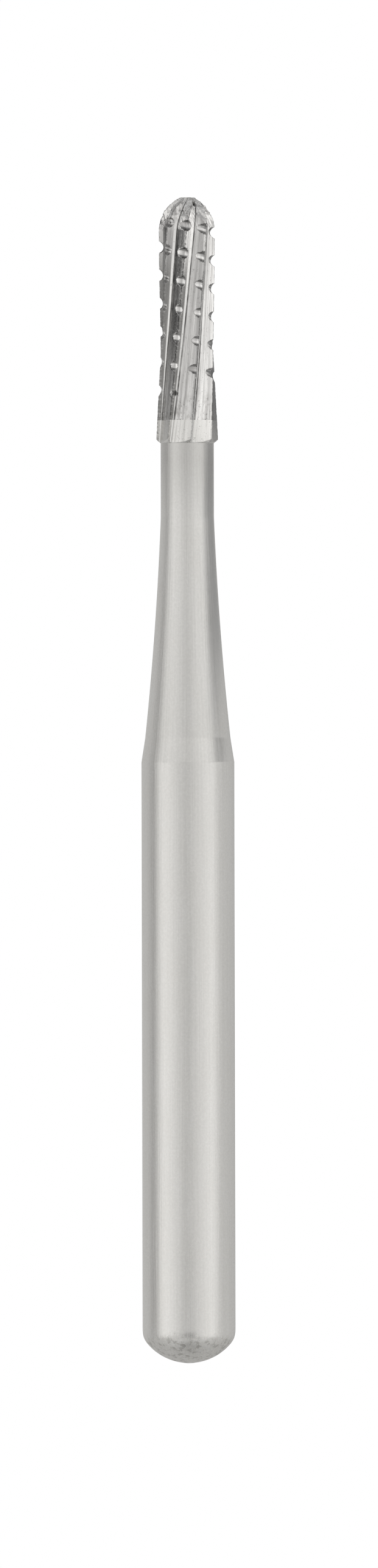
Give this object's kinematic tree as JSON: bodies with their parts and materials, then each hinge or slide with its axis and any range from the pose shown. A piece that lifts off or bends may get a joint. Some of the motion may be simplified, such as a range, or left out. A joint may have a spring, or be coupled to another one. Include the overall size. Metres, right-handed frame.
{
  "type": "dental bur",
  "caption": "Slim dental bur: a domed, spirally fluted and crosscut carbide head on a long tapered steel neck and a smooth round friction grip shank.",
  "frame": {"origin": "pole of the shank's rounded end, on the bur's axis", "axes": "+Z along the bur's axis, from the shank's rounded end to the domed tip of the head"},
  "size_m": [0.0016, 0.0016, 0.0201],
  "materials": {
    "carbide": "ground tungsten carbide, satin, a little darker than the steel",
    "steel": "finely ground stainless steel, satin"
  },
  "bodies": {
    "root": {"carbide_head": "carbide", "steel_shank": "steel"}
  },
  "joints": []
}
